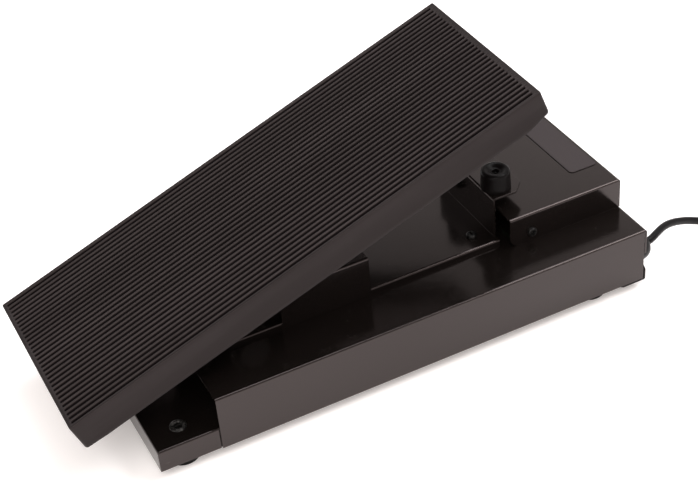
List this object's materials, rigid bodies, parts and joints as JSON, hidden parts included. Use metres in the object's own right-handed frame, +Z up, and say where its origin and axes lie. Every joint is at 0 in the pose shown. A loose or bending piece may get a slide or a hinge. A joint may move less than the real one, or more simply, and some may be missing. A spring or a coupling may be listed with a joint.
{
  "type": "expression pedal",
  "caption": "Rocking foot pedal: ribbed rubber treadle on a folded-steel base, geared potentiometer, electronics housing, rubber stops and a thin cord with a phone plug.",
  "frame": {"origin": "middle of the footprint, on the surface that the rubber feet rest on", "axes": "+X across the pedal towards the side the cord leaves from, +Y from the heel to the toe, +Z up"},
  "size_m": [0.1359, 0.4793, 0.137],
  "materials": {
    "treadle_rubber": "moulded, fine lengthwise ribs, dull",
    "black_enamel": "satin stove enamel on folded steel sheet",
    "foot_rubber": "plain moulded",
    "zinc_steel": "bright zinc plate",
    "black_screw": "black oxide",
    "black_eyelet": "worn black enamel",
    "ground_steel": "ground",
    "bronze": "sintered bronze",
    "nylon": "natural nylon",
    "pot_metal": "pressed can",
    "tinned": "tinned",
    "label_plate": "blank, satin",
    "board": "solder resist",
    "chip": "moulded",
    "terminal": "moulded",
    "wire": "PVC",
    "gland": "moulded nylon",
    "cord_jacket": "round PVC jacket",
    "tie_strap": "hook-and-loop strap",
    "plug_boot": "moulded",
    "plug_shell": "moulded, ribbed",
    "plug_contact": "nickel plate",
    "plug_insulator": "moulded"
  },
  "bodies": {
    "base": {"heel_platform": "black_enamel", "base_cover": "black_enamel", "bottom_plate": "black_enamel", "toe_panel": "black_enamel", "pivot_bracket": "black_enamel", "pivot_pedestal": "black_enamel", "electronics_housing": "black_enamel", "housing_tabs": "black_enamel", "rubber_feet": "foot_rubber", "toe_bumpers": "foot_rubber", "heel_bumpers": "foot_rubber", "wire_grommets": "foot_rubber", "foot_nuts": "zinc_steel", "heel_spacers": "zinc_steel", "bumper_nuts": "zinc_steel", "pot_bracket": "zinc_steel", "pot_washer": "zinc_steel", "pot_nut": "zinc_steel", "board_standoffs": "zinc_steel", "pivot_lugs": "zinc_steel", "foot_screws": "black_screw", "plate_screws": "black_screw", "lug_screws": "black_screw", "bracket_screws": "black_screw", "housing_screws": "black_screw", "bumper_screws": "black_screw", "pot_bracket_screws": "black_screw", "board_screws": "black_screw", "heel_eyelets": "black_eyelet", "pivot_bushings": "bronze", "friction_washers": "nylon", "pot_case": "pot_metal", "pot_terminals": "tinned", "label_plate": "label_plate", "circuit_board": "board", "board_components": "chip", "terminal_blocks": "terminal", "pot_wires": "wire", "output_wires": "wire", "cable_gland": "gland", "gland_locknut": "gland", "cord_lead": "cord_jacket", "cord_tail": "cord_jacket", "cord_coil": "cord_jacket", "coil_tie": "tie_strap", "plug_boot": "plug_boot", "plug_barrel": "plug_shell", "plug_sleeve": "plug_contact", "plug_tip": "plug_contact", "plug_insulator": "plug_insulator"},
    "treadle": {"treadle_rubber": "treadle_rubber", "treadle_plate": "black_enamel", "treadle_hanger": "black_enamel", "hanger_rivets": "zinc_steel", "pivot_shaft": "ground_steel", "shaft_clips": "zinc_steel", "sector_gear": "nylon", "sector_screw": "zinc_steel"},
    "pot_rotor": {"pot_shaft": "ground_steel", "pinion_gear": "nylon"}
  },
  "joints": [
    {"name": "treadle_pivot", "type": "hinge", "parent": "base", "child": "treadle", "pos_m": [0, -0.0141, 0.0706], "axis": [1, 0, 0], "range_deg": [-27, 0]},
    {"name": "pot_spin", "type": "hinge", "parent": "base", "child": "pot_rotor", "pos_m": [0, -0.04931, 0.06312], "axis": [1, 0, 0], "range_deg": [-1, 136]}
  ],
  "couplings": [
    {"joint": "pot_spin", "follows": "treadle_pivot", "ratio": -5}
  ]
}
